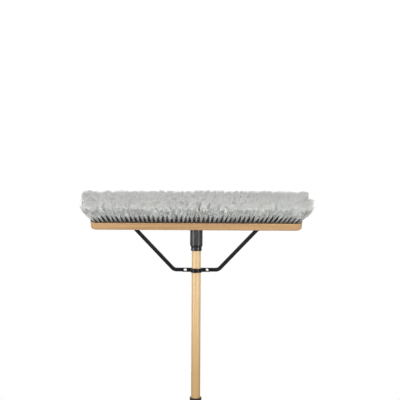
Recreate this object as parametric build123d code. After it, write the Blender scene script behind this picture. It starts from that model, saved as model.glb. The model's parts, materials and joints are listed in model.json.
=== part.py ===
from build123d import *
import math
import os

# A push broom hanging from the hole in its end cap: the handle runs down the Z axis, and the head
# is at the bottom. The origin is the middle of the hanging hole. Heights given as "above the
# head" are measured up the handle's axis from where it meets the back face of the block.
# All sizes are in millimetres.

# ---- driving dimensions ----
HANG_HEIGHT = 1538.0  # hanging hole above the head
HEAD_TILT = 30.0  # between the handle and the normal of the block's back face, degrees

BLOCK_LENGTH = 610.0
BLOCK_WIDTH = 64.0
BLOCK_THICKNESS = 25.4
BLOCK_CORNER = 18.0
BACK_EDGE_ROUND = 6.0
FACE_EDGE_ROUND = 1.2

TUFT_PITCH = 12.7
TUFTS_PER_LONG_ROW = 47
ROW_SPACING = 12.5
ROW_SIDES = [-2, -1, 0, 1, 2]  # rows counted from the block's middle line
TUFT_HOLE_R = 2.75
TUFT_HOLE_DEPTH = 14.0
TUFT_R = 2.6
TUFT_FREE_LENGTH = 12.0  # where neighbouring tufts begin to touch
TRIM_LENGTH = 69.0
TIP_ROW_SPACING = 17.6  # rows fan out to this at the trimmed end
ROW_TIP_WIDTH = 17.0
ROW_ROOT_WIDTH = 6.4
ROW_CORNER = 3.0
OUTER_ROW_TRIM = 6.0  # each row out from the middle is this much shorter at its tips
END_SPLAY = 34.0  # how far the end tufts lean past the block
TUFT_FOLD_DEPTH = 11.0  # how deep the tuft reaches into its hole

HANDLE_R = 13.5
RUNNING_GAP = 0.3

SOCKET_R = 18.5
SOCKET_HEIGHT = 74.5
SOCKET_BODY_TOP = 57.5
SOCKET_SHOULDER = 7.0
SOCKET_NECK_R = 15.9
SOCKET_LIP_R = 16.4
SOCKET_LIP_HEIGHT = 4.5
SOCKET_CUP_FLOOR = 60.0
SOCKET_BORE_FLOOR = 24.0
FLANGE_LENGTH = 72.0
FLANGE_WIDTH = 44.0
FLANGE_THICKNESS = 3.5
FLANGE_CORNER = 12.0
FLUTE_COUNT = 20
FLUTE_R = 1.5

THREAD_PITCH = 5.08
THREAD_CREST_R = 9.3
THREAD_ROOT_R = 7.3
THREAD_GAP = 0.35
THREAD_CREST = 2.0  # length of a ridge along the axis at its crest
THREAD_FLANK = 0.5  # and how much longer it is on each side at its root
THREAD_RIDGES = 6
TIP_FLANGE = 3.0
TIP_SHANK_R = 7.0
TIP_SHANK_LENGTH = 32.0

BRACE_CENTRE = 131.6  # height of the bar's middle above the head
BRACE_WIDTH = 11.5
BRACE_DEPTH = 5.0
BRACE_HALF_BAR = 64.9  # from the handle's axis to the meeting point of bar and arm lines
BRACE_SLOPE = 0.96  # sideways run of an arm for each unit it goes down
BRACE_BEND_R = 18.0
FOOT_THICKNESS = 3.2
FOOT_WIDTH = 16.0
FOOT_LENGTH = 30.0
FOOT_START = 194.0  # where a foot's plate begins, from the middle of the block
ARM_END = 8.0  # height above the head where an arm begins to flatten into its foot

STRAP_THICKNESS = 2.4
STRAP_HEIGHT = 12.0
STRAP_HALF_LENGTH = 40.7
STRAP_BEND_R = 3.4
CLAMP_BOLT_X = 31.5
CLAMP_BOLT_R = 2.45
CLAMP_HOLE_R = 2.75
CLAMP_GAP = 1.6  # left between strap and bar, so that the bolts can pull it tight
CLAMP_TRAVEL = 4.0

LOWER_COUPLING_FOOT = 501.5  # above the head
SECTION_LENGTH = 508.0
COUPLING_R = 17.5
COUPLING_LENGTH = 64.0
COUPLING_CUP = 24.0
COUPLING_WEB = 4.0
COUPLING_EDGE = 0.8
COUPLING_PLAIN = 7.0  # ungrooved at each end

CAP_R = 15.6
CAP_FOOT = 1494.0
CAP_CUP_FLOOR = 1524.0
CAP_TOP = 1553.0
CAP_TONGUE = 14.0
CAP_EDGE = 2.0
HANG_HOLE_R = 4.0
TACK_HEIGHT = 1506.0
TACK_R = 0.9
TACK_LENGTH = 13.0
TACK_HEAD_R = 2.8
TACK_HEAD = 0.8

PIN_R = 1.6
SCREW_R = 2.0
SCREW_HEAD_R = 4.0
SCREW_HEAD_HEIGHT = 2.5
SCREW_LENGTH = 19.0
SCREW_POINT = 5.0
DRIVE_LENGTH = 4.2  # the crossed slots in screw and bolt heads
DRIVE_WIDTH = 0.9
DRIVE_DEPTH = 1.3
CLAMP_HEAD_R = 5.3
CLAMP_HEAD_HEIGHT = 3.2
WASHER_THICKNESS = 1.0
NUT_FLATS = 8.0
NUT_HEIGHT = 4.0
STAPLE_WIDTH = 4.4
STAPLE_WIRE = 0.9
SEAT_GAP = 0.03  # round a glued or pressed joint

# ---- places worked out from them ----
TILT = math.radians(HEAD_TILT)
HEAD = Plane(
    origin=(0, 0, -HANG_HEIGHT), x_dir=(1, 0, 0), z_dir=(0, math.sin(TILT), math.cos(TILT))
)  # the block's back face: Z points away from the wood, and the fibre grows along -Z
BRACE_Y = HANDLE_R + RUNNING_GAP + BRACE_DEPTH / 2  # the bar passes behind the handle
BRACE_FRONT = BRACE_Y - BRACE_DEPTH / 2
BRACE_BACK = BRACE_Y + BRACE_DEPTH / 2
FOOT_Y = BRACE_Y / math.cos(TILT)  # where the brace's plane meets the back face, in the head's frame
FOOT_SCREW_X = 16.75 * TUFT_PITCH  # between two tuft holes, like all the wood screws
SOCKET_SCREW_X = 2 * TUFT_PITCH
SOCKET_SCREW_Y = ROW_SPACING
STRAP_R = HANDLE_R + RUNNING_GAP
STRAP_BACK = BRACE_FRONT - CLAMP_GAP
STRAP_FRONT = STRAP_BACK - STRAP_THICKNESS
UPPER_COUPLING_FOOT = LOWER_COUPLING_FOOT + SECTION_LENGTH
BOLT_LENGTH = BRACE_BACK + WASHER_THICKNESS + NUT_HEIGHT + CLAMP_TRAVEL + 2.0 - STRAP_FRONT
MID = Align.CENTER
UP = Align.MIN
DOWN = Align.MAX


def at_height(height):
    """The place on the handle's axis at a height above the head."""
    return Pos(0, 0, height - HANG_HEIGHT)


def peg(radius, length, align=UP):
    """A plain cylinder along Z, standing on its end by default."""
    return Cylinder(radius, length, align=(MID, MID, align))


def turned(points):
    """A body of revolution about the handle's axis from (radius, height above the head) points."""
    outline = Polyline([(r, 0, h - HANG_HEIGHT) for r, h in points], close=True)
    return revolve(make_face(outline), Axis.Z)


# ---- block and fibre ----
def tuft_xs(side):
    """Places of a row's tufts along the block; every other row is staggered by half a pitch."""
    count = TUFTS_PER_LONG_ROW - side % 2
    return [(i - (count - 1) / 2) * TUFT_PITCH for i in range(count)]


def mirrored(x):
    return (-x, x)


def socket_screw_places():
    return [(x, y) for x in mirrored(SOCKET_SCREW_X) for y in mirrored(SOCKET_SCREW_Y)]


def make_block():
    """Board with rounded corners, drilled on its face for tufts and on its back for wood screws."""
    board = extrude(RectangleRounded(BLOCK_LENGTH, BLOCK_WIDTH, BLOCK_CORNER), -BLOCK_THICKNESS)
    board = fillet(board.faces().sort_by(Axis.Z)[-1].edges(), BACK_EDGE_ROUND)
    board = fillet(board.faces().sort_by(Axis.Z)[0].edges(), FACE_EDGE_ROUND)
    drill = peg(TUFT_HOLE_R, TUFT_HOLE_DEPTH)
    holes = [
        Pos(x, side * ROW_SPACING, -BLOCK_THICKNESS) * drill
        for side in ROW_SIDES
        for x in tuft_xs(side)
    ]
    pilot = peg(SCREW_R + SEAT_GAP, SCREW_LENGTH - FOOT_THICKNESS, DOWN)
    holes += [Pos(x, y, 0) * pilot for x, y in socket_screw_places()]
    holes += [Pos(x, FOOT_Y, 0) * pilot for x in mirrored(FOOT_SCREW_X)]
    return HEAD.location * (board - holes)


def make_bristle_row(side):
    """One row: separate round tufts at the wood that run together into a fan of fibre."""
    xs = tuft_xs(side)
    share = TUFT_FREE_LENGTH / TRIM_LENGTH
    root_y = side * (ROW_SPACING + (TIP_ROW_SPACING - ROW_SPACING) * share)
    root_length = xs[-1] - xs[0] + 2 * TUFT_R + 2 * END_SPLAY * share
    tip_length = BLOCK_LENGTH + 2 * END_SPLAY - OUTER_ROW_TRIM * abs(side)
    root = Pos(0, root_y, -BLOCK_THICKNESS - TUFT_FREE_LENGTH) * RectangleRounded(
        root_length, ROW_ROOT_WIDTH, ROW_CORNER
    )
    tip = Pos(0, side * TIP_ROW_SPACING, -BLOCK_THICKNESS - TRIM_LENGTH) * RectangleRounded(
        tip_length, ROW_TIP_WIDTH, ROW_CORNER
    )
    stub = peg(TUFT_R, TUFT_FOLD_DEPTH + TUFT_FREE_LENGTH + TUFT_R, DOWN)
    stubs = [Pos(x, side * ROW_SPACING, TUFT_FOLD_DEPTH - BLOCK_THICKNESS) * stub for x in xs]
    return HEAD.location * (loft([root, tip]) + stubs)


def make_staples():
    """A bent wire above the fold of every tuft, at the bottom of its hole."""
    half = STAPLE_WIDTH / 2
    leg = TUFT_HOLE_DEPTH - TUFT_FOLD_DEPTH - 2 * SEAT_GAP
    inner = half - STAPLE_WIRE
    outline = Polyline(
        (-half, leg), (-half, 0), (half, 0), (half, leg), (inner, leg),
        (inner, STAPLE_WIRE), (-inner, STAPLE_WIRE), (-inner, leg), close=True,
    )
    staple = extrude(Plane.XZ * make_face(outline), STAPLE_WIRE / 2, both=True)
    fold = TUFT_FOLD_DEPTH + SEAT_GAP - BLOCK_THICKNESS
    return HEAD.location * Compound(
        [Pos(x, side * ROW_SPACING, fold) * staple for side in ROW_SIDES for x in tuft_xs(side)]
    )


# ---- screws, bolts and pins ----
def cross_slots(head_height):
    """The crossed slots of a driver recess, cut down from the top of a head."""
    arm = Box(DRIVE_LENGTH, DRIVE_WIDTH, 2 * DRIVE_DEPTH)
    return [Pos(0, 0, head_height) * Rot(0, 0, turn) * arm for turn in (0, 90)]


def domed_head(radius, height):
    """A head whose crown is an arc over a short straight rim, standing on Z = 0."""
    rim = height * 0.3
    side = Polyline((0, 0, 0), (radius, 0, 0), (radius, 0, rim))
    crown = ThreePointArc((radius, 0, rim), (radius * 0.6, 0, height * 0.83), (0, 0, height))
    axis = Line((0, 0, height), (0, 0, 0))
    return revolve(make_face(side + crown + axis), Axis.Z) - cross_slots(height)


def make_wood_screw():
    """Pan-head wood screw with its head standing on Z = 0 and its point down."""
    shank = peg(SCREW_R, SCREW_LENGTH - SCREW_POINT, DOWN)
    point = Cone(SCREW_R * 0.15, SCREW_R, SCREW_POINT, align=(MID, MID, DOWN))
    point = Pos(0, 0, SCREW_POINT - SCREW_LENGTH) * point
    return domed_head(SCREW_HEAD_R, SCREW_HEAD_HEIGHT) + shank + point


def make_socket_screws():
    screw = make_wood_screw()
    return HEAD.location * Compound(
        [Pos(x, y, FLANGE_THICKNESS) * screw for x, y in socket_screw_places()]
    )


def make_foot_screws():
    screw = make_wood_screw()
    return HEAD.location * Compound(
        [Pos(x, FOOT_Y, FOOT_THICKNESS) * screw for x in mirrored(FOOT_SCREW_X)]
    )


def pin_across(height, length, radius=PIN_R):
    """A straight pin across the handle, along X."""
    return at_height(height) * Rot(0, 90, 0) * peg(radius, length, MID)


# ---- socket on the block ----
def flutes(radius, foot, length):
    """Shallow grip grooves up the outside of a round plastic piece."""
    groove = Pos(radius + FLUTE_R * 0.4, 0, 0) * peg(FLUTE_R, length)
    return [at_height(foot) * Rot(0, 0, i * 360 / FLUTE_COUNT) * groove for i in range(FLUTE_COUNT)]


def ridge_points(foot, top, crest_r, root_r, grow):
    """Outline of the thread's ridges from foot up to top; grow widens every ridge."""
    points = [(root_r, foot)]
    for i in range(THREAD_RIDGES):
        middle = top - (THREAD_RIDGES - i - 0.5) * THREAD_PITCH
        crest = THREAD_CREST / 2 + grow
        root = crest + THREAD_FLANK
        points += [(root_r, middle - root), (crest_r, middle - crest)]
        points += [(crest_r, middle + crest), (root_r, middle + root)]
    return points + [(root_r, top)]


def threaded_bore(foot, top):
    """The space inside a female thread, a little larger than the ridges that turn in it."""
    walls = ridge_points(foot, top, THREAD_CREST_R + THREAD_GAP, THREAD_ROOT_R + THREAD_GAP, THREAD_GAP)
    return turned([(0, foot)] + walls + [(0, top)])


def make_socket():
    """Screw socket: flange on the block's back, leaning body, narrow neck and lip."""
    flange = HEAD.location * extrude(
        RectangleRounded(FLANGE_LENGTH, FLANGE_WIDTH, FLANGE_CORNER), FLANGE_THICKNESS
    )
    neck_foot = SOCKET_BODY_TOP + SOCKET_SHOULDER
    lip_foot = SOCKET_HEIGHT - SOCKET_LIP_HEIGHT
    barrel = turned([
        (0, -SOCKET_R), (SOCKET_R, -SOCKET_R), (SOCKET_R, SOCKET_BODY_TOP),
        (SOCKET_R - 0.6, SOCKET_BODY_TOP + 0.4 * SOCKET_SHOULDER), (SOCKET_NECK_R, neck_foot),
        (SOCKET_NECK_R - 0.2, lip_foot), (SOCKET_LIP_R, lip_foot + 0.6),
        (SOCKET_LIP_R, SOCKET_HEIGHT - 0.8), (SOCKET_LIP_R - 0.8, SOCKET_HEIGHT), (0, SOCKET_HEIGHT),
    ])
    wood_side = HEAD.location * Box(BLOCK_LENGTH, 4 * SOCKET_R, 4 * SOCKET_R, align=(MID, MID, DOWN))
    body = flange + (barrel - wood_side)
    body -= flutes(SOCKET_R, SOCKET_R, SOCKET_BODY_TOP - SOCKET_R - FLUTE_R)
    cup = peg(HANDLE_R + RUNNING_GAP, SOCKET_HEIGHT)
    body -= at_height(SOCKET_CUP_FLOOR) * cup
    body -= threaded_bore(SOCKET_BORE_FLOOR, SOCKET_CUP_FLOOR)
    hole = peg(SCREW_R + RUNNING_GAP, 4 * FLANGE_THICKNESS, MID)
    return body - [HEAD.location * Pos(x, y, 0) * hole for x, y in socket_screw_places()]


# ---- brace and its clamp ----
def brace_path():
    """Middle line of the brace: an arm, the bar behind the handle and the other arm."""
    arm_x = BRACE_HALF_BAR + BRACE_SLOPE * (BRACE_CENTRE - ARM_END)
    corners = [(-arm_x, ARM_END), (-BRACE_HALF_BAR, BRACE_CENTRE)]
    corners += [(-x, h) for x, h in reversed(corners)]
    return FilletPolyline([(x, BRACE_Y, h - HANG_HEIGHT) for x, h in corners], radius=BRACE_BEND_R)


def make_foot():
    """The right foot: a flat plate on the back of the block, round at its end."""
    straight = FOOT_LENGTH - FOOT_WIDTH / 2
    plate = Pos(FOOT_START, FOOT_Y) * Rectangle(straight, FOOT_WIDTH, align=(UP, MID))
    plate += Pos(FOOT_START + straight, FOOT_Y) * Circle(FOOT_WIDTH / 2)
    plate -= Pos(FOOT_SCREW_X, FOOT_Y) * Circle(SCREW_R + RUNNING_GAP)
    return HEAD.location * extrude(plate, FOOT_THICKNESS)


def make_brace():
    path = brace_path()
    start = Plane(origin=path @ 1, x_dir=(0, 1, 0), z_dir=path % 1)
    oval = RectangleRounded(BRACE_DEPTH, BRACE_WIDTH, BRACE_DEPTH * 0.48)
    bar = sweep(Plane(origin=path @ 0, x_dir=(0, 1, 0), z_dir=path % 0) * oval, path)
    flat = RectangleRounded(FOOT_THICKNESS, FOOT_WIDTH, FOOT_THICKNESS * 0.4)
    plate_start = HEAD * Plane(
        origin=(FOOT_START, FOOT_Y, FOOT_THICKNESS / 2), x_dir=(0, 0, 1), z_dir=(1, 0, 0)
    ).location
    ankle = loft([start * oval, Plane(plate_start) * flat])
    foot = make_foot() + ankle
    holes = [
        Pos(x, BRACE_Y, BRACE_CENTRE - HANG_HEIGHT) * Rot(90, 0, 0) * peg(CLAMP_HOLE_R, 4 * BRACE_DEPTH, MID)
        for x in mirrored(CLAMP_BOLT_X)
    ]
    return bar + foot + mirror(foot, Plane.YZ) - holes


def make_strap():
    """Steel strap bent round the front of the handle, with a bolt wing on each side."""
    wing_y = STRAP_BACK - STRAP_THICKNESS / 2
    round_r = STRAP_R + STRAP_THICKNESS / 2
    corners = [(-STRAP_HALF_LENGTH, wing_y), (-round_r, wing_y), (-round_r, -round_r)]
    corners += [(-x, y) for x, y in reversed(corners)]
    saddle_r = round_r - 0.1
    path = FilletPolyline(
        [(x, y, BRACE_CENTRE - HANG_HEIGHT) for x, y in corners],
        radius=[STRAP_BEND_R, saddle_r, saddle_r, STRAP_BEND_R],
    )
    section = Plane(origin=path @ 0, x_dir=(0, 1, 0), z_dir=path % 0)
    strap = sweep(section * Rectangle(STRAP_THICKNESS, STRAP_HEIGHT), path)
    ends = strap.edges().filter_by(Axis.Y).filter_by(lambda e: abs(e.center().X) > STRAP_HALF_LENGTH - 1)
    strap = fillet(ends, STRAP_HEIGHT / 4)
    hole = Rot(90, 0, 0) * peg(CLAMP_HOLE_R, 4 * STRAP_HEIGHT, MID)
    return strap - [
        Pos(x, wing_y, BRACE_CENTRE - HANG_HEIGHT) * hole for x in mirrored(CLAMP_BOLT_X)
    ]


def clamp_group(piece, y):
    """The same piece on both clamp bolts, with its own +Z turned to face forwards (-Y)."""
    return Compound(
        [Pos(x, y, BRACE_CENTRE - HANG_HEIGHT) * Rot(90, 0, 0) * piece for x in mirrored(CLAMP_BOLT_X)]
    )


def make_clamp_bolts():
    bolt = domed_head(CLAMP_HEAD_R, CLAMP_HEAD_HEIGHT) + peg(CLAMP_BOLT_R, BOLT_LENGTH, DOWN)
    return clamp_group(bolt, STRAP_FRONT)


def make_clamp_washers():
    washer = peg(CLAMP_HEAD_R, WASHER_THICKNESS, DOWN) - peg(CLAMP_HOLE_R, 2 * WASHER_THICKNESS, DOWN)
    return clamp_group(washer, BRACE_BACK)


def make_clamp_nuts():
    blank = extrude(RegularPolygon(NUT_FLATS / 2, 6, major_radius=False), -NUT_HEIGHT)
    nut = blank - peg(CLAMP_BOLT_R + SEAT_GAP, 2 * NUT_HEIGHT, DOWN)
    return clamp_group(nut, BRACE_BACK + WASHER_THICKNESS)


# ---- handle ----
def make_tip(seat):
    """Threaded tip: ridges below, a flange as wide as the wood and a shank up inside it."""
    foot = seat - THREAD_RIDGES * THREAD_PITCH - THREAD_GAP
    flange = seat + RUNNING_GAP
    shank = flange + TIP_FLANGE
    tip = turned(
        [(0, foot)]
        + ridge_points(foot, seat, THREAD_CREST_R, THREAD_ROOT_R, 0)
        + [(THREAD_ROOT_R, flange), (HANDLE_R, flange), (HANDLE_R, shank), (TIP_SHANK_R, shank)]
        + [(TIP_SHANK_R, shank + TIP_SHANK_LENGTH), (0, shank + TIP_SHANK_LENGTH)]
    )
    return tip - pin_across(tip_pin_height(seat), 2 * HANDLE_R, PIN_R + SEAT_GAP)


def rod_foot(seat):
    return seat + RUNNING_GAP + TIP_FLANGE


def tip_pin_height(seat):
    return rod_foot(seat) + TIP_SHANK_LENGTH / 2


def make_tip_pin(seat):
    return pin_across(tip_pin_height(seat), 2 * HANDLE_R - 0.6)


def make_rod(seat, top, top_pin):
    """Wooden rod, bored below for its tip's shank and cross-drilled for its pins."""
    foot = rod_foot(seat)
    rod = at_height(foot) * peg(HANDLE_R, top - foot)
    bore = at_height(foot) * peg(TIP_SHANK_R + SEAT_GAP, TIP_SHANK_LENGTH + 1)
    pin_hole = pin_across(tip_pin_height(seat), 4 * HANDLE_R, PIN_R + SEAT_GAP)
    return rod - bore - pin_hole - top_pin


def coupling_seat(foot):
    """Height of a coupling's top face, where the next section's flange comes down."""
    return foot + COUPLING_LENGTH


def coupling_pin_height(foot):
    return foot + COUPLING_CUP / 2


def coupling_pin_hole(foot):
    return pin_across(coupling_pin_height(foot), 4 * COUPLING_R, PIN_R + SEAT_GAP)


def make_coupling(foot):
    """Plastic sleeve: a cup below for one section's wood, and a female thread above for the next."""
    top = coupling_seat(foot)
    edge = COUPLING_EDGE
    sleeve = turned([
        (0, foot), (COUPLING_R - edge, foot), (COUPLING_R, foot + edge),
        (COUPLING_R, top - 2 * edge), (COUPLING_R - 2 * edge, top), (0, top),
    ])
    sleeve -= at_height(foot) * peg(HANDLE_R + SEAT_GAP, COUPLING_CUP)
    sleeve -= threaded_bore(foot + COUPLING_CUP + COUPLING_WEB, top)
    sleeve -= flutes(COUPLING_R, foot + COUPLING_PLAIN, COUPLING_LENGTH - 2 * COUPLING_PLAIN)
    return sleeve - coupling_pin_hole(foot)


def make_coupling_pin(foot):
    return pin_across(coupling_pin_height(foot), 2 * COUPLING_R - 3.0)


def tack_at(radius):
    """Places a tack radially behind the handle, head outwards, at the given radius."""
    return at_height(TACK_HEIGHT) * Rot(-90, 0, 0) * Pos(0, 0, radius)


def make_cap():
    """End cap: a cup over the wood and a flat tongue with the hanging hole."""
    cup = turned([
        (0, CAP_FOOT), (CAP_R - 0.8, CAP_FOOT), (CAP_R, CAP_FOOT + 0.8),
        (CAP_R, CAP_CUP_FLOOR), (CAP_R - 2, CAP_CUP_FLOOR + 4), (0, CAP_CUP_FLOOR + 5),
    ])
    rise = HANG_HEIGHT - CAP_CUP_FLOOR
    width = CAP_TOP - HANG_HEIGHT
    tongue = Rectangle(2 * width, rise, align=(MID, DOWN)) + Circle(width)
    tongue = extrude(Plane.XZ * tongue, CAP_TONGUE / 2, both=True)
    tongue = fillet(tongue.faces().filter_by(Axis.Y).edges(), CAP_EDGE)
    cap = cup + tongue - at_height(CAP_FOOT) * peg(HANDLE_R + SEAT_GAP, CAP_CUP_FLOOR - CAP_FOOT)
    cap -= Rot(90, 0, 0) * peg(HANG_HOLE_R, 2 * CAP_TONGUE, MID)
    return cap - tack_at(0) * peg(TACK_R + SEAT_GAP, 2 * CAP_R)


def make_tack():
    shank = peg(TACK_R, TACK_LENGTH, DOWN)
    return tack_at(CAP_R + SEAT_GAP) * (shank + Cylinder(TACK_HEAD_R, TACK_HEAD, align=(MID, MID, UP)))


def handle_pieces():
    """The three wooden sections and what is fixed to each, by name."""
    tack_hole = tack_at(CAP_R - TACK_LENGTH) * peg(TACK_R + SEAT_GAP, TACK_LENGTH)
    lower, upper = LOWER_COUPLING_FOOT, UPPER_COUPLING_FOOT
    sections = [
        ("lower", SOCKET_CUP_FLOOR, lower + COUPLING_CUP, coupling_pin_hole(lower)),
        ("middle", coupling_seat(lower), upper + COUPLING_CUP, coupling_pin_hole(upper)),
        ("upper", coupling_seat(upper), CAP_CUP_FLOOR, tack_hole),
    ]
    pieces = {}
    for name, seat, top, top_hole in sections:
        pieces[f"{name}_handle_rod"] = make_rod(seat, top, top_hole)
        pieces[f"{name}_threaded_tip"] = make_tip(seat)
        pieces[f"{name}_tip_pin"] = make_tip_pin(seat)
    for name, foot in (("lower", lower), ("upper", upper)):
        pieces[f"{name}_coupling"] = make_coupling(foot)
        pieces[f"{name}_coupling_pin"] = make_coupling_pin(foot)
    pieces["hang_cap"] = make_cap()
    pieces["cap_tack"] = make_tack()
    return pieces


def head_pieces():
    pieces = {
        "block": make_block(),
        "tuft_staples": make_staples(),
        "handle_socket": make_socket(),
        "socket_screws": make_socket_screws(),
        "brace_bar": make_brace(),
        "brace_foot_screws": make_foot_screws(),
        "handle_strap": make_strap(),
        "clamp_bolts": make_clamp_bolts(),
        "clamp_washers": make_clamp_washers(),
        "clamp_nuts": make_clamp_nuts(),
    }
    for number, side in enumerate(ROW_SIDES, 1):
        pieces[f"bristle_row_{number}"] = make_bristle_row(side)
    return pieces


os.makedirs("parts", exist_ok=True)
for node, piece in {**head_pieces(), **handle_pieces()}.items():
    export_step(piece, f"parts/{node}.step")
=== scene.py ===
import json
import math

import bpy
import numpy as np
from mathutils import Matrix, Vector


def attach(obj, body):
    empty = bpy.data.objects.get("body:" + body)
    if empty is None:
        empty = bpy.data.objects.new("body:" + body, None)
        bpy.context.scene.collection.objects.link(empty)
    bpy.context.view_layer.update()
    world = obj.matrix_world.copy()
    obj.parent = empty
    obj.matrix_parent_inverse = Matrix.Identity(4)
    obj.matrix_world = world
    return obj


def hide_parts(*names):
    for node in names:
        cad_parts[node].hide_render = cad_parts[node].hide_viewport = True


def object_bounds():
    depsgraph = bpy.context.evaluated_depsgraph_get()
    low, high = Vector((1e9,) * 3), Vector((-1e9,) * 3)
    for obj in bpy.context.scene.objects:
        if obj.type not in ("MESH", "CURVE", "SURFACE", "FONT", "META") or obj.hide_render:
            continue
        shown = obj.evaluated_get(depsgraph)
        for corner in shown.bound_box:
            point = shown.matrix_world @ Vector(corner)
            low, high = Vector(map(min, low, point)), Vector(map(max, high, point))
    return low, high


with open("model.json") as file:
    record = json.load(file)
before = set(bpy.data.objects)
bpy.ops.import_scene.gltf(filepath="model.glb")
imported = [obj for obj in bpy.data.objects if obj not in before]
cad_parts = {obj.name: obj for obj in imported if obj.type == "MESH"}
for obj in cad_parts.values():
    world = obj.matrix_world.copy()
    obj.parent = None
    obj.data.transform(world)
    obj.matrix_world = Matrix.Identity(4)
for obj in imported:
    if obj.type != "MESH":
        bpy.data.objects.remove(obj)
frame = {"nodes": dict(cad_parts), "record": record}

# A push broom that hangs from its end cap, head down. Metres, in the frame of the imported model:
# +Z runs up the handle, X along the block, and the fibre faces down and towards -Y.
# The fibre is worked out in the head's own frame, as (along the block, across it, depth from the
# wood). Across grows away from the side that shows.


def corners(bounds):
    """Two opposite corners as plain lists."""
    return [[float(c) for c in corner] for corner in bounds]


CAD_BOX = corners(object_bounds())
SEED = 7
FULL_TURN = 2 * math.pi

# ---- the head's own frame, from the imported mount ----
MOUNTS = {m["name"]: m for m in frame["record"]["mounts"]}
TIPS = Vector(MOUNTS["sweep_face"]["pos_m"])  # middle of the trimmed face
GROWTH = Vector(MOUNTS["sweep_face"]["axis"]).normalized()  # the way the fibre points
ACROSS = Vector((0, -GROWTH.z, GROWTH.y))
TRIM_LENGTH = 0.069
FACE = TIPS - GROWTH * TRIM_LENGTH  # middle of the block's drilled face
BLOCK_THICKNESS = 0.0254
HEAD_HEIGHT = (FACE - GROWTH * BLOCK_THICKNESS).z  # middle of its back face, on the handle's axis
HEAD = Matrix((
    (1, 0, 0, 0),
    (0, ACROSS.y, GROWTH.y, FACE.y),
    (0, ACROSS.z, GROWTH.z, FACE.z),
    (0, 0, 0, 1),
))  # takes the head's frame to the model's

# ---- rows and tufts ----
TUFT_PITCH = 0.0127
TUFTS_PER_LONG_ROW = 47
ROW_SPACING = 0.0125
ROW_SIDES = (-2, -1, 0, 1, 2)  # rows out from the middle one; -2 is the front row, which shows
HALF_ROW = TUFT_PITCH * (TUFTS_PER_LONG_ROW - 1) / 2
FIBRES_PER_TUFT = 47
END_TUFTS = 2  # at each end of a row, tufts with twice as many fibres
TUFT_R = 0.0026
TUFT_SPREAD = (0.0074, 0.0098)  # half size of the patch that one tuft's stems fill at their tips
RIM_CROWDING = 0.35  # under 0.5, the fibres of a tuft stand closer together towards its rim
OPENING_START = 0.15  # shares of the fibre's length over which a tuft opens from its hole to its patch
OPENING_RUN = 0.42
OPENING_CURVE = 1.1

# ---- how the tips lean out ----
END_OVERHANG = 0.0288  # how far the tip of a row's last tuft leans past its root
FRONT_LAG = 0.07  # share of that lost in a front row, times its rows out squared
BACK_LAG = 0.035  # and in a back row
LATE_LEAN = 0.6  # share of the overhang that grows with the square of the way to the end
END_FAN = 0.0085  # how much further the outermost fibres lean
END_FAN_IN = -0.35  # the innermost ones' share of that
END_FAN_START = 0.86  # share of half a row where the fan begins
SIDE_OVERHANG = 0.0066  # how far the tips of a row lean across, for each row out from the middle
SKEW = 0.0015  # how far the tips of a row have set to one side, for each row out
WAVERS = ((0.0016, 41, 1.9), (0.0012, 97, 2.7))  # (size, radians per metre, shift from row to row)
WAVER_FADE = 0.6  # share of the wavering lost at the ends
LEAN_CURVE = 1.6  # over 1, a fibre leans out early and then straightens
TIP_SCATTER = (0.0014, 0.0018)  # from tuft to tuft, along and across

# ---- where the fibre is cut ----
TRIM_RISE = 0.0012  # how far past TRIM_LENGTH a fibre without a lean reaches
TRIM_ROUNDING = 0.45  # 0 for a level trimmed face, 1 for fibres that are all of one length
TUFT_CUT = 0.0009  # how unevenly whole tufts, single stems and single flags are cut
STEM_CUT = 0.0006
FLAG_CUT = 0.0005
SHORTEST = 0.12  # share of itself that a cut flag keeps at least
PITS = 75  # small hollows in the trimmed face, where the split ends have parted
PIT_ZONE = ((-0.32, -0.045), (0.32, 0.022))  # its corners, clear of the back row's outer edge
PIT_DEPTH = 0.024
PIT_R = 0.0044

# ---- stems, and the flags, which are their split ends ----
STEM_R = 0.00031
STEM_STATIONS = (-0.02, 0.22, 0.50, 0.96)  # shares of the length, from just inside the wood
STEM_TAPER = (1, 1, 0.9, 0)
STEM_TONES = (-0.26, -0.20, 0.20, 0.12)
STEM_SCATTER = 0.0009
NEVER_ALONG = (0.31, 0.95, 0.05)  # a direction that no fibre takes
FLAG_R = 0.00036
FLAG_TAPER = (0.9, 1, 0)
FLAG_TONES = (0, 0.06, 0.12)
TIP_FLAGS = 3  # flags of one fibre that run up to the trimmed face
TIP_FLAG_STARTS = (0.48, 0.74)  # shares of the fibre's length
TIP_FLAG_END = 1.02  # past the trimmed face, which then cuts them
TIP_FLARE = 0.0032
MIDDLE_FLARE = 0.45  # share of the flare halfway up a tip flag
MIDDLE_SCATTER = 0.0008
SIDE_FLAGS = 3  # flags of one fibre that stand out sideways and mat with their neighbours
SIDE_FLAGS_START = 0.35
SIDE_FLAGS_LOWER = 0.07  # how much sooner they start in the end's fan
SIDE_FLAGS_END = 0.92
SIDE_FLAGS_CROWDING = 1.5  # over 1, more of them start near the wood
SIDE_FLAG_LENGTH = (0.006, 0.012)
SIDE_FLAG_TURN = (0.5, 1.5)  # how far they turn away from the stem
SIDE_FLAG_OUTWARD = 0.8  # how strongly they keep to the outside of their tuft
SIDE_FLAG_CURL = 0.5
LONG_FLAGS = 0.01  # share of them that are longer
LONG_FLAG = 1.5

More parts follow.
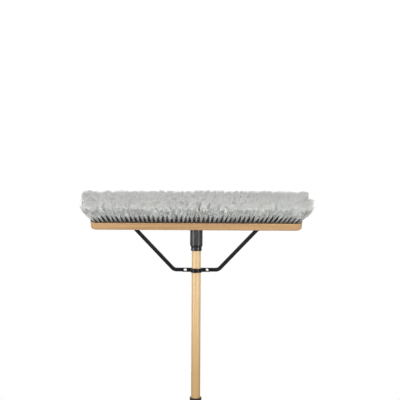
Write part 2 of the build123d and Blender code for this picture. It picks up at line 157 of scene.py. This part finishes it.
# ---- tones: -0.7 is the darkest and 0.6 the lightest ----
TONE_RANGE = (-0.7, 0.6)
FIBRE_TONE_SPREAD = 0.11  # how much fibres differ
FLAG_TONE_SPREAD = 0.06  # and the flags of one fibre
LOW_FLAG_PAINTED_LIGHT = 0.50  # painted light: how much lighter a flag is made the nearer to the wood it starts, against the shade there
LOW_FLAG_LEVEL = 0.7  # where it makes no difference
# painted shade: the core is darker, so that it reads as the shade deep inside the fibre
CORE_SHADE_TONE = -0.26
CORE_TONE_SPREAD = 0.08  # how much it differs from point to point
MOTTLE_SIZE = 0.016
MOTTLE_STRENGTH = 0.11
MOTTLE_WAVES = 12
BAKE_MAP = "OFBake"  # a UV map laid out by tone, for the fibre's colours to be baked into
UV_TONE_SPAN = 1.6  # tones from the bottom of that map to its top
UV_LEFT = 0.02
UV_WIDTH = 0.9
UV_STEP = 0.618034  # from one face to the next, as a share of that width
UV_FACE = (0.05, 0.006)  # size of one face on the map
UV_LIMITS = (0.01, 0.99)

# ---- the matted core of a row ----
CORE_STEPS = 280
CORE_AROUND = 22
CORE_START = 0.43  # shares of the fibre's length
CORE_END = 0.80
CORE_HALF_WIDTH = 0.0048
CORE_NARROW = 0.55  # share of that width at its lower edge
CORE_GAIN = 0.45  # and the share that it gains further up
CORE_WIDENING = 0.25  # share of the fibre's length over which it does
CORE_PAST_ROW = 0.002
CORE_ROUND_END = 0.04  # share of half the core that is rounded off
CORE_BLUNTNESS = 0.02  # keeps its ends from closing to a point
CORE_SQUARENESS = 0.6  # 1 for a round section, less for a squarer one
CORE_LUMPS = 0.0006

# ---- partings: places where the tufts of the front row stand apart ----
PARTINGS = (  # (tufts from the middle, strength)
    (-16.5, 0.6), (-2.5, 0.9), (-0.5, 1.0), (2.5, 1.0), (11.5, 0.6), (14.5, 1.3), (17.5, 0.5), (19.5, 0.5),
)
PARTING_START = 0.6  # share of the length where a parting begins
PARTING_RUN = 0.2  # and over which it grows to its full width
PARTING_WIDTH = 0.0036  # half of it
PARTING_SHIFT = 0.0030  # how far the fibres at its sides are pushed
PARTING_ACROSS = -0.034  # where across the block it is strongest
PARTING_REACH = 0.0125  # and how far from there it fades
PARTING_SLANT = 0.25  # how far it runs along the block for each metre across
SLANT_ACROSS = -0.036  # where the slant leaves it in place
FLAG_DRAW_BACK = 2.2  # how readily flags in a parting draw back to their stems
FLAG_DRAW_START = 0.35
FLAG_DRAW_MOST = 0.95
CORE_DRAW_BACK = 1.5  # and how readily the core draws back to its lower edge
CORE_DRAW_MOST = 0.9


def tuft_xs(side):
    """Where the tufts of a row are rooted along the block; every other row has one fewer."""
    count = TUFTS_PER_LONG_ROW - side % 2
    return (np.arange(count) - (count - 1) / 2) * TUFT_PITCH


def lean(x, side):
    """How far the tip of a tuft rooted at x leans along and across the block."""
    share = np.abs(x) / HALF_ROW
    lag = FRONT_LAG if side < 0 else BACK_LAG
    reach = END_OVERHANG * (1 - lag * side**2)
    outward = reach * ((1 - LATE_LEAN) * share + LATE_LEAN * share**2)
    waver = sum(size * np.sin(x * rate + side * shift) for size, rate, shift in WAVERS)
    along = np.sign(x) * outward + waver * (1 - WAVER_FADE * share) + side * SKEW
    return along, np.full_like(x, side * SIDE_OVERHANG)


def trimmed(along, across):
    """Depth at which a fibre with this lean is cut off: nearly level, a little less at the edges."""
    level = np.sqrt(TRIM_LENGTH**2 - along**2 - across**2)
    return TRIM_LENGTH + TRIM_RISE - TRIM_ROUNDING * (TRIM_LENGTH - level)


def hollow(ends_at):
    """How much shorter fibres that end at these (along, across) places are, in the nearest hollow."""
    rng = np.random.default_rng(SEED)
    pits = rng.uniform(*PIT_ZONE, (PITS, 2))
    away = np.linalg.norm(ends_at[:, None] - pits, axis=2).min(1)
    return PIT_DEPTH * np.exp(-((away / PIT_R) ** 2))


def opened(t):
    """How far a tuft has opened at share t of its length."""
    return np.clip((t - OPENING_START) / OPENING_RUN, 0, 1) ** OPENING_CURVE


class Fibres:
    """Fibres of one row: their roots, their tips' lean, their length and their place in the tuft."""

    def __init__(self, x, side, along, across, length, offsets):
        self.x = x
        self.side = side
        self.along = along
        self.across = across
        self.length = length
        self.offsets = offsets

    def at(self, t, spread):
        """Points at share t of the fibres, in tufts opened by spread."""
        out = 1 - np.maximum(1 - t, 0) ** LEAN_CURVE
        half = [TUFT_R + (wide - TUFT_R) * spread for wide in TUFT_SPREAD]
        return np.stack([
            self.x + self.along * out + self.offsets[:, 0] * half[0],
            self.side * ROW_SPACING + self.across * out + self.offsets[:, 1] * half[1],
            self.length * t,
        ], 1)


def part_tufts(points):
    """Pushes points aside where the tufts stand apart, and says how far apart they stand."""
    x, across, depth = points[..., 0], points[..., 1], points[..., 2]
    shift = np.zeros_like(x)
    gap = np.zeros_like(x)
    grown = np.clip(depth / TRIM_LENGTH - PARTING_START, 0, PARTING_RUN) / PARTING_RUN
    sideways = ((across - PARTING_ACROSS) / PARTING_REACH) ** 2
    for tuft, strength in PARTINGS:
        root = np.array([tuft * TUFT_PITCH])
        along, _ = lean(root, ROW_SIDES[0])
        centre = root[0] + along[0] * np.clip(depth / TRIM_LENGTH, 0, 1)
        away = x - centre + PARTING_SLANT * (across - SLANT_ACROSS)
        near = np.exp(-((away / PARTING_WIDTH) ** 2) - sideways) * grown * strength
        shift += np.sign(away) * near * PARTING_SHIFT
        gap = np.maximum(gap, near)
    points[..., 0] += shift
    return gap


def unit(vectors):
    return vectors / np.linalg.norm(vectors, axis=-1, keepdims=True)


def cut_to(depth, base, *points):
    """Shortens strands from base that run deeper than depth, keeping their direction."""
    run = points[-1][:, 2] - base[:, 2]
    share = np.where(run > 0, np.clip((depth - base[:, 2]) / np.maximum(run, 1e-6), SHORTEST, 1), 1)
    return [base + (point - base) * share[:, None] for point in points]


def row_fibres(side, rng):
    """The fibres of one row, and how much each belongs to the fan at the row's end."""
    xs = tuft_xs(side)
    along, across = lean(xs, side)
    along = along + rng.normal(0, TIP_SCATTER[0], len(xs))
    across = across + rng.normal(0, TIP_SCATTER[1], len(xs))
    tuft_cut = np.abs(rng.normal(0, TUFT_CUT, len(xs)))
    fibres = np.full(len(xs), FIBRES_PER_TUFT)
    fibres[:END_TUFTS] *= 2
    fibres[-END_TUFTS:] *= 2
    x, along, across, tuft_cut = (np.repeat(v, fibres) for v in (xs, along, across, tuft_cut))
    n = len(x)
    angle = rng.uniform(0, FULL_TURN, n)
    reach = rng.uniform(0, 1, n) ** RIM_CROWDING
    offsets = np.stack([np.cos(angle), np.sin(angle)], 1) * reach[:, None]
    end = np.clip((np.abs(x) / HALF_ROW - END_FAN_START) / (1 - END_FAN_START), 0, 1)
    along = along + np.sign(x) * END_FAN * end * rng.uniform(END_FAN_IN, 1, n)
    length = trimmed(along, across) - tuft_cut - rng.exponential(STEM_CUT, n)
    ends_at = np.stack([x + along, side * ROW_SPACING + across], 1) + offsets * TUFT_SPREAD
    return Fibres(x, side, along, across, length - hollow(ends_at), offsets), end


def stems(fibres, tone, rng):
    """The stems as (points, radii, tones)."""
    points = np.stack([fibres.at(t, opened(t)) for t in STEM_STATIONS], 1)
    points[:, 2:, :2] += rng.normal(0, STEM_SCATTER, (len(tone), 2, 2))
    part_tufts(points)
    radii = np.broadcast_to(np.array(STEM_TAPER) * STEM_R, points.shape[:2])
    return points, radii, tone[:, None] + STEM_TONES


def flags(fibres, tone, rng, t, base, middle, tip):
    """Flags that start at share t, as (points, radii, tones), cut off and drawn back in a parting."""
    middle, tip = cut_to(fibres.length - rng.exponential(FLAG_CUT, len(t)), base, middle, tip)
    points = np.stack([base, middle, tip], 1)
    gap = part_tufts(points).max(1)
    drawn_back = np.clip(gap * FLAG_DRAW_BACK - FLAG_DRAW_START, 0, FLAG_DRAW_MOST)
    points[:, 1:] += (base[:, None] - points[:, 1:]) * drawn_back[:, None, None]
    radii = np.broadcast_to(np.array(FLAG_TAPER) * FLAG_R, points.shape[:2])
    # painted light: flags that start nearer the wood are made lighter, against the shade they sit in
    own = tone + rng.normal(0, FLAG_TONE_SPREAD, len(t)) + LOW_FLAG_PAINTED_LIGHT * (LOW_FLAG_LEVEL - t)
    return points, radii, own[:, None] + FLAG_TONES


def tip_flags(fibres, tone, rng):
    """One flag of every fibre that runs up to the trimmed face."""
    n = len(tone)
    t = rng.uniform(*TIP_FLAG_STARTS, n)
    base = fibres.at(t, opened(t))
    flare = rng.normal(0, TIP_FLARE, (n, 2))
    halfway = (1 + t) / 2
    middle = fibres.at(halfway, opened(halfway))
    middle[:, :2] += flare * MIDDLE_FLARE + rng.normal(0, MIDDLE_SCATTER, (n, 2))
    tip = fibres.at(TIP_FLAG_END, 1.0)
    tip[:, :2] += flare
    return flags(fibres, tone, rng, t, base, middle, tip)


def side_flags(fibres, tone, rng, end, which):
    """One flag of every fibre that stands out sideways, the lowest of them for which = 0."""
    n = len(tone)
    start = SIDE_FLAGS_START - SIDE_FLAGS_LOWER * end
    way_up = ((which + rng.uniform(0, 1, n)) / SIDE_FLAGS) ** SIDE_FLAGS_CROWDING
    t = start + (SIDE_FLAGS_END - start) * way_up
    base = fibres.at(t, opened(t))
    angle = rng.uniform(0, FULL_TURN, n)
    sideways = unit(fibres.offsets * SIDE_FLAG_OUTWARD + np.stack([np.cos(angle), np.sin(angle)], 1))
    turned = sideways * rng.uniform(*SIDE_FLAG_TURN, n)[:, None]
    growth = unit(np.stack([fibres.along, fibres.across, fibres.length], 1))
    way = unit(growth + np.pad(turned, ((0, 0), (0, 1))))
    size = rng.uniform(*SIDE_FLAG_LENGTH, n)[:, None]
    size[rng.uniform(0, 1, n) < LONG_FLAGS] *= LONG_FLAG
    middle = base + way * size * 0.5
    tip = middle + unit(way + rng.normal(0, SIDE_FLAG_CURL, (n, 3))) * size * 0.5
    return flags(fibres, tone, rng, t, base, middle, tip)


def row_strands(side, rng):
    """Stems and flags of one row as (points, radii, tones)."""
    fibres, end = row_fibres(side, rng)
    tone = rng.normal(0, FIBRE_TONE_SPREAD, len(end))
    strands = [stems(fibres, tone, rng)]
    strands += [tip_flags(fibres, tone, rng) for _ in range(TIP_FLAGS)]
    strands += [side_flags(fibres, tone, rng, end, which) for which in range(SIDE_FLAGS)]
    return strands


def core_grid(side, rng):
    """The matted core of a row: rings round a lumpy slab, as (rings, points round, xyz) and tones."""
    span = np.linspace(-1, 1, CORE_STEPS)
    rounded = (np.abs(span) - (1 - CORE_ROUND_END)).clip(0) ** 2 / CORE_ROUND_END**2
    ends = np.sqrt(np.clip(1 - rounded, CORE_BLUNTNESS, 1))
    angle = np.linspace(0, FULL_TURN, CORE_AROUND, endpoint=False)
    wide = np.sign(np.cos(angle)) * np.abs(np.cos(angle)) ** CORE_SQUARENESS
    tall = np.sign(np.sin(angle)) * np.abs(np.sin(angle)) ** CORE_SQUARENESS
    middle, half = (CORE_START + CORE_END) / 2, (CORE_END - CORE_START) / 2
    x = np.repeat(span * (HALF_ROW + CORE_PAST_ROW), CORE_AROUND)
    t = middle + half * np.outer(ends, tall).ravel()
    widened = np.clip((t - CORE_START) / CORE_WIDENING, 0, 1)
    width = CORE_HALF_WIDTH * (CORE_NARROW + CORE_GAIN * widened)
    along, across = lean(x, side)
    ends_at = np.stack([x + along, side * ROW_SPACING + across], 1)
    length = trimmed(along, across) - hollow(ends_at)
    threads = Fibres(x, side, along, across, length, np.zeros((len(x), 2)))
    points = threads.at(t, 0)
    points[:, 1] += np.outer(ends, wide).ravel() * width
    points += rng.normal(0, CORE_LUMPS, points.shape)
    drawn_back = np.clip(part_tufts(points)[:, None] * CORE_DRAW_BACK, 0, CORE_DRAW_MOST)
    points += (threads.at(CORE_START, 0) - points) * drawn_back * [0, 1, 1]
    # painted shade: the core's darker tone stands for the shade deep inside the fibre
    tone = rng.normal(CORE_SHADE_TONE, CORE_TONE_SPREAD, len(x))
    return points.reshape(CORE_STEPS, CORE_AROUND, 3), tone.reshape(CORE_STEPS, CORE_AROUND)


def mottle(points):
    """A soft random pattern through space, mostly from -1 to 1, that shades whole clumps."""
    rng = np.random.default_rng(SEED)
    waves = rng.normal(0, 1, (3, MOTTLE_WAVES)) * FULL_TURN / MOTTLE_SIZE
    return np.sin(points @ waves + rng.uniform(0, FULL_TURN, MOTTLE_WAVES)).mean(-1) * 2


def strand_faces(points, radii, tones):
    """Closed three-sided strands that end in a point, as vertices, quads, triangles and tones."""
    sides = 3
    n, k, _ = points.shape
    way = unit(np.diff(points, axis=1))
    u = unit(np.cross(way, NEVER_ALONG))
    v = np.cross(way, u)
    rings = np.empty((n, k - 1, sides, 3))
    for s in range(sides):
        angle = FULL_TURN * s / sides
        rings[:, :, s] = points[:, :-1] + radii[:, :-1, None] * (math.cos(angle) * u + math.sin(angle) * v)
    verts = np.concatenate([rings.reshape(n, -1, 3), points[:, -1:]], 1)
    each = (k - 1) * sides + 1
    index = (np.arange(n) * each)[:, None, None] + np.arange((k - 1) * sides).reshape(k - 1, sides)
    after = np.roll(index, -1, 2)
    quads = np.stack([index[:, :-1], after[:, :-1], after[:, 1:], index[:, 1:]], -1).reshape(-1, 4)
    tips = np.broadcast_to((np.arange(n) * each + each - 1)[:, None], (n, sides))
    points_up = np.stack([index[:, -1], after[:, -1], tips], -1).reshape(-1, 3)
    tris = np.concatenate([index[:, 0, ::-1], points_up])
    tone = np.concatenate([np.repeat(tones[:, :-1], sides, 1), tones[:, -1:]], 1)
    return verts.reshape(-1, 3), quads, tris, tone.ravel()


def core_faces(grid, tones):
    """The closed skin of a core, as vertices, quads, triangles and tones."""
    steps, around, _ = grid.shape
    index = np.arange(steps * around).reshape(steps, around)
    after = np.roll(index, -1, 1)
    quads = np.stack([index[:-1], index[1:], after[1:], after[:-1]], -1).reshape(-1, 4)
    first, last = steps * around, steps * around + 1
    caps = [
        np.stack([index[0], after[0], np.full(around, first)], -1),
        np.stack([after[-1], index[-1], np.full(around, last)], -1),
    ]
    verts = np.concatenate([grid.reshape(-1, 3), [grid[0].mean(0), grid[-1].mean(0)]])
    return verts, quads, np.concatenate(caps), np.append(tones.ravel(), [0, 0])


def gathered(groups):
    """Groups of (vertices, quads, triangles, tones) as one, with the faces' indices moved on."""
    base = 0
    verts, quads, tris, tones = [], [], [], []
    for group_verts, group_quads, group_tris, group_tones in groups:
        verts.append(group_verts)
        quads.append(group_quads + base)
        tris.append(group_tris + base)
        tones.append(group_tones)
        base += len(group_verts)
    return [np.concatenate(v) for v in (verts, quads, tris, tones)]


def tone_layout(quads, tris, corner_tones):
    """UVs of the face corners: up by their tone, and across by their face."""
    corner = np.concatenate([np.tile([0, 1, 1, 0], len(quads)), np.tile([0, 1, 0.5], len(tris))])
    face = np.concatenate([np.repeat(np.arange(len(quads)), 4), np.repeat(np.arange(len(tris)), 3)])
    across = UV_LEFT + UV_WIDTH * (face * UV_STEP % 1) + UV_FACE[0] * corner
    up = np.clip(0.5 + corner_tones / UV_TONE_SPAN + UV_FACE[1] * (corner - 0.5), *UV_LIMITS)
    return np.stack([across, up], 1)


def joined_mesh(name, groups):
    """One mesh in the model's frame from groups in the head's."""
    verts, quads, tris, tones = gathered(groups)
    tones = tones + MOTTLE_STRENGTH * mottle(verts)
    loops = np.concatenate([quads.ravel(), tris.ravel()])
    starts = np.concatenate([np.arange(len(quads)) * 4, quads.size + np.arange(len(tris)) * 3])
    mesh = bpy.data.meshes.new(name)
    mesh.vertices.add(len(verts))
    mesh.vertices.foreach_set("co", verts.astype(np.float32).ravel())
    mesh.loops.add(len(loops))
    mesh.loops.foreach_set("vertex_index", loops.astype(np.int32))
    mesh.polygons.add(len(starts))
    mesh.polygons.foreach_set("loop_start", starts.astype(np.int32))
    mesh.polygons.foreach_set("use_smooth", np.ones(len(starts), bool))
    mesh.update(calc_edges=True)
    mesh.transform(HEAD)
    attribute = mesh.attributes.new("tone", "FLOAT", "POINT")
    attribute.data.foreach_set("value", tones.astype(np.float32))
    layer = mesh.uv_layers.new(name=BAKE_MAP)
    layer.data.foreach_set("uv", tone_layout(quads, tris, tones[loops]).astype(np.float32).ravel())
    return mesh


def make_fibre(material):
    rng = np.random.default_rng(SEED)
    for number, side in enumerate(ROW_SIDES, 1):
        groups = [strand_faces(*strands) for strands in row_strands(side, rng)]
        groups.append(core_faces(*core_grid(side, rng)))
        mesh = joined_mesh(f"fibre_row_{number}", groups)
        mesh.materials.append(material)
        piece = bpy.data.objects.new(mesh.name, mesh)
        bpy.context.scene.collection.objects.link(piece)
        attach(piece, "head")
        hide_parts(f"bristle_row_{number}")


# ---- materials ----
WOOD_STOPS = (0.3, 0.5, 0.72)
CLOUD_STOPS = (0.3, 0.7)
PORES = (0.56, 0.74)  # the part of the fine grain that shows as pores
DRILLED_FACE_SHADE = (0.9, 0.99)  # how squarely a face points the fibre's way to count as the drilled face, which gets painted shade
FALLOFF_SHADE_START = 0.10  # height above the block where painted shade starts to darken the handle, as the light falls off away from the head
FALLOFF_SHADE_RUN = 0.33


def add(tree, kind, inputs=None, **settings):
    """A new shader node: settings are its own properties, inputs are values or links by name."""
    made = tree.nodes.new("ShaderNode" + kind)
    for name, value in settings.items():
        setattr(made, name, value)
    for name, value in (inputs or {}).items():
        if isinstance(value, bpy.types.NodeSocket):
            tree.links.new(value, made.inputs[name])
        else:
            made.inputs[name].default_value = value
    return made


def new_material(name, **constants):
    """A node material with a Principled shader, whose constants are set on its own sockets."""
    material = bpy.data.materials.new(name)
    material.use_nodes = True
    shader = material.node_tree.nodes["Principled BSDF"]
    for socket, value in constants.items():
        shader.inputs[socket.replace("_", " ")].default_value = value
    return material, material.node_tree, shader


def ramp(tree, factor, stops, colours):
    """A colour ramp with one colour for each stop."""
    made = add(tree, "ValToRGB", {"Fac": factor})
    elements = made.color_ramp.elements
    while len(elements) < len(stops):
        elements.new(0.5)
    for element, stop, colour in zip(elements, stops, colours):
        element.position = stop
        element.color = (*colour, 1)
    return made.outputs["Color"]


def own_coordinates(tree):
    return add(tree, "TexCoord").outputs["Object"]


def stretched(tree, scale, shift=(0, 0, 0)):
    """The piece's own coordinates, scaled differently along each axis."""
    mapping = {"Vector": own_coordinates(tree), "Scale": scale, "Location": shift}
    return add(tree, "Mapping", mapping).outputs["Vector"]


def noise(tree, vector, detail, roughness=0.5, distortion=0.0):
    made = add(tree, "TexNoise", {
        "Vector": vector, "Scale": 1.0, "Detail": detail,
        "Roughness": roughness, "Distortion": distortion,
    })
    return made.outputs["Fac"]


def bump(tree, shader, height, distance, strength):
    made = add(tree, "Bump", {"Height": height, "Distance": distance, "Strength": strength})
    tree.links.new(made.outputs["Normal"], shader.inputs["Normal"])


def rough_between(tree, shader, factor, low, high):
    made = add(tree, "MapRange", {"Value": factor, "To Min": low, "To Max": high})
    tree.links.new(made.outputs["Result"], shader.inputs["Roughness"])


def between(tree, value, low, high):
    """0 below low, 1 above high."""
    return add(tree, "MapRange", {"Value": value, "From Min": low, "From Max": high}).outputs["Result"]


def mixed(tree, factor, a, b):
    """Colour a, or b where the factor is 1; each is a colour or a link."""
    made = add(tree, "Mix", {"Factor": factor}, data_type="RGBA", clamp_factor=True)
    for socket, colour in zip((made.inputs[6], made.inputs[7]), (a, b)):
        if isinstance(colour, bpy.types.NodeSocket):
            tree.links.new(colour, socket)
        else:
            socket.default_value = (*colour, 1)
    return made.outputs[2]


def paint(tree, shader, colour):
    tree.links.new(colour, shader.inputs["Base Color"])


def wood(name, along, shift):
    """A lacquered wood material with its grain along one axis, and its broad and fine grain."""
    material, tree, shader = new_material(name, Coat_Weight=0.25, Coat_Roughness=0.18)
    fine = [420.0] * 3
    broad = [130.0] * 3
    fine[along] = 9.0
    broad[along] = 2.6
    bands = noise(tree, stretched(tree, broad, shift), detail=3, roughness=0.55, distortion=0.6)
    streaks = noise(tree, stretched(tree, fine, shift), detail=4, roughness=0.65)
    rough_between(tree, shader, streaks, 0.34, 0.52)
    bump(tree, shader, streaks, 0.00012, 0.5)
    return material, tree, shader, bands, streaks


def handle_wood():
    """Pale straight-grained wood, with painted shade that makes it darker further up from the head, where
    less light falls.
    """
    material, tree, shader, bands, streaks = wood("handle_wood", 2, (3, 7, 0))
    pale = ramp(tree, bands, WOOD_STOPS, [(0.58, 0.40, 0.20), (0.67, 0.48, 0.255), (0.71, 0.52, 0.29)])
    # painted shade: the same wood made darker, for the handle further up from the head, where less light
    # falls
    falloff_shade = ramp(tree, bands, WOOD_STOPS, [(0.45, 0.275, 0.115), (0.525, 0.335, 0.145), (0.57, 0.375, 0.172)])
    height = add(tree, "SeparateXYZ", {"Vector": own_coordinates(tree)}).outputs["Z"]
    low = HEAD_HEIGHT + FALLOFF_SHADE_START
    # painted shade blends in with height above the head
    colour = mixed(tree, between(tree, height, low, low + FALLOFF_SHADE_RUN), pale, falloff_shade)
    paint(tree, shader, mixed(tree, between(tree, streaks, *PORES), colour, (0.47, 0.29, 0.13)))
    return material


def block_wood():
    """Reddish hardwood, with the drilled face painted dark as the shade between the tufts."""
    material, tree, shader, bands, streaks = wood("block_wood", 0, (0, 2, 5))
    colour = ramp(tree, bands, WOOD_STOPS, [(0.40, 0.235, 0.112), (0.50, 0.30, 0.142), (0.55, 0.34, 0.168)])
    colour = mixed(tree, between(tree, streaks, *PORES), colour, (0.42, 0.23, 0.11))
    normal = add(tree, "TexCoord").outputs["Normal"]
    facing = add(tree, "VectorMath", {0: normal, 1: GROWTH}, operation="DOT_PRODUCT").outputs["Value"]
    # painted shade: the drilled face is the same wood, painted near black for the shade that falls between
    # the tufts
    paint(tree, shader, mixed(tree, between(tree, facing, *DRILLED_FACE_SHADE), colour, (0.12, 0.08, 0.055)))
    return material


def black_plastic():
    material, tree, shader = new_material("black_plastic", Coat_Weight=0.3, Coat_Roughness=0.15)
    grain = noise(tree, stretched(tree, [2600.0] * 3), detail=2)
    cloud = noise(tree, stretched(tree, [60.0] * 3), detail=3)
    paint(tree, shader, ramp(tree, cloud, CLOUD_STOPS, [(0.007, 0.007, 0.009), (0.013, 0.013, 0.015)]))
    rough_between(tree, shader, grain, 0.24, 0.36)
    bump(tree, shader, grain, 0.00005, 0.5)
    return material


def black_paint():
    material, tree, shader = new_material("black_paint", Specular_IOR_Level=0.2)
    peel = noise(tree, stretched(tree, [900.0] * 3), detail=2)
    cloud = noise(tree, stretched(tree, [45.0] * 3), detail=4)
    paint(tree, shader, ramp(tree, cloud, CLOUD_STOPS, [(0.004, 0.004, 0.005), (0.009, 0.009, 0.010)]))
    rough_between(tree, shader, cloud, 0.22, 0.34)
    bump(tree, shader, peel, 0.00004, 0.5)
    return material


def bright_steel():
    material, tree, shader = new_material("bright_steel", Metallic=1.0)
    scratch = noise(tree, stretched(tree, [300.0, 2400.0, 2400.0]), detail=3)
    paint(tree, shader, ramp(tree, scratch, CLOUD_STOPS, [(0.62, 0.62, 0.63), (0.8, 0.8, 0.79)]))
    rough_between(tree, shader, scratch, 0.16, 0.3)
    bump(tree, shader, scratch, 0.00003, 0.4)
    return material


def grey_fibre():
    """Grey plastic fibre: darker stems, lighter split ends, and every fibre a little different; the tones
    also carry painted shade on the core and painted light on the low flags.
    """
    material, tree, shader = new_material("grey_fibre", Roughness=0.6, Specular_IOR_Level=0.25)
    tone = add(tree, "Attribute", attribute_name="tone").outputs["Fac"]
    paint(tree, shader, ramp(tree, between(tree, tone, *TONE_RANGE), (0.0, 0.35, 0.56, 1.0), [
        (0.24, 0.26, 0.27), (0.58, 0.60, 0.60), (0.83, 0.84, 0.815), (0.90, 0.90, 0.875),
    ]))
    return material


def paint_cad():
    """Gives every CAD node the material of its slot, and says which material each slot has."""
    makers = (handle_wood, block_wood, black_plastic, black_paint, bright_steel, grey_fibre)
    by_slot = {maker.__name__: maker() for maker in makers}
    for subpart in frame["record"]["subparts"]:
        node = frame["nodes"][subpart["node"]]
        if not node.material_slots:
            node.data.materials.append(None)
        for slot in node.material_slots:
            slot.material = by_slot[subpart["material_slot"]]
    return by_slot


# ---- studio ----
CAMERA_FOV = math.radians(35)
CAMERA_DISTANCE = 1.85
CAMERA_X = -0.0102
CAMERA_BELOW_WOOD = 0.0733
CAMERA_ROLL = math.radians(0.3)
FLOOR_GAP = 0.30
FLOOR_SIZE = 300.0
FLOOR_LIGHT = 0.2  # how strongly the floor and the world light up the object
WORLD_LIGHT = 0.30


def make_camera():
    """A level camera turned upside down, so that the broom's head stands above its handle."""
    data = bpy.data.cameras.new("camera")
    data.sensor_width = 36
    data.angle = CAMERA_FOV
    camera = bpy.data.objects.new("camera", data)
    up = Vector((math.sin(CAMERA_ROLL), 0, -math.cos(CAMERA_ROLL)))
    back = Vector((0, -1, 0))
    right = up.cross(back)
    turn = Matrix((right, up, back)).transposed().to_4x4()
    spot = Vector((CAMERA_X, -CAMERA_DISTANCE, HEAD_HEIGHT - CAMERA_BELOW_WOOD))
    camera.matrix_world = Matrix.Translation(spot) @ turn
    bpy.context.scene.collection.objects.link(camera)
    bpy.context.scene.camera = camera


def white_but(tree, unseen):
    """Full strength for what the camera sees, and another for the light that falls on the object."""
    path = add(tree, "LightPath").outputs["Is Camera Ray"]
    return add(tree, "MapRange", {"Value": path, "To Min": unseen, "To Max": 1.0}).outputs["Result"]


def make_floor():
    height = CAD_BOX[0][2] - FLOOR_GAP
    around = [(-1, -1), (1, -1), (1, 1), (-1, 1)]
    mesh = bpy.data.meshes.new("floor")
    mesh.from_pydata([(x * FLOOR_SIZE, y * FLOOR_SIZE, height) for x, y in around], [], [(0, 1, 2, 3)])
    material, tree, shader = new_material("floor", Roughness=0.9, Base_Color=(0.8, 0.8, 0.8, 1))
    shader.inputs["Emission Color"].default_value = (1, 1, 1, 1)
    tree.links.new(white_but(tree, FLOOR_LIGHT), shader.inputs["Emission Strength"])
    mesh.materials.append(material)
    floor = bpy.data.objects.new("floor", mesh)
    bpy.context.scene.collection.objects.link(floor)


def softbox(name, x, y, above_head, size, power):
    """An unseen lamp that points at the head, placed by its height above the drilled face."""
    data = bpy.data.lights.new(name, "AREA")
    data.shape = "RECTANGLE"
    data.size, data.size_y = size
    data.energy = power
    light = bpy.data.objects.new(name, data)
    light.location = (x, y, FACE.z + above_head)
    aim = FACE - Vector((x, y, FACE.z + above_head))
    light.rotation_euler = aim.to_track_quat("-Z", "Y").to_euler()
    light.visible_camera = False
    bpy.context.scene.collection.objects.link(light)


def make_light():
    softbox("left_box", -0.75, -0.8, 0.25, (0.3, 0.6), 4.6)
    softbox("right_box", 0.95, -0.55, 0.25, (0.3, 0.6), 4.6)
    softbox("low_front", 0, -1.3, -0.35, (1.3, 0.5), 16.8)
    softbox("back_box", 0.6, 1.6, 0.6, (1.2, 1.2), 10)
    world = bpy.data.worlds.new("studio")
    world.use_nodes = True
    tree = world.node_tree
    background = tree.nodes["Background"]
    background.inputs["Color"].default_value = (1, 1, 1, 1)
    tree.links.new(white_but(tree, WORLD_LIGHT), background.inputs["Strength"])
    bpy.context.scene.world = world
    bpy.context.scene.view_settings.view_transform = "Standard"


make_camera()
make_floor()
make_light()
MATERIALS = paint_cad()
make_fibre(MATERIALS["grey_fibre"])
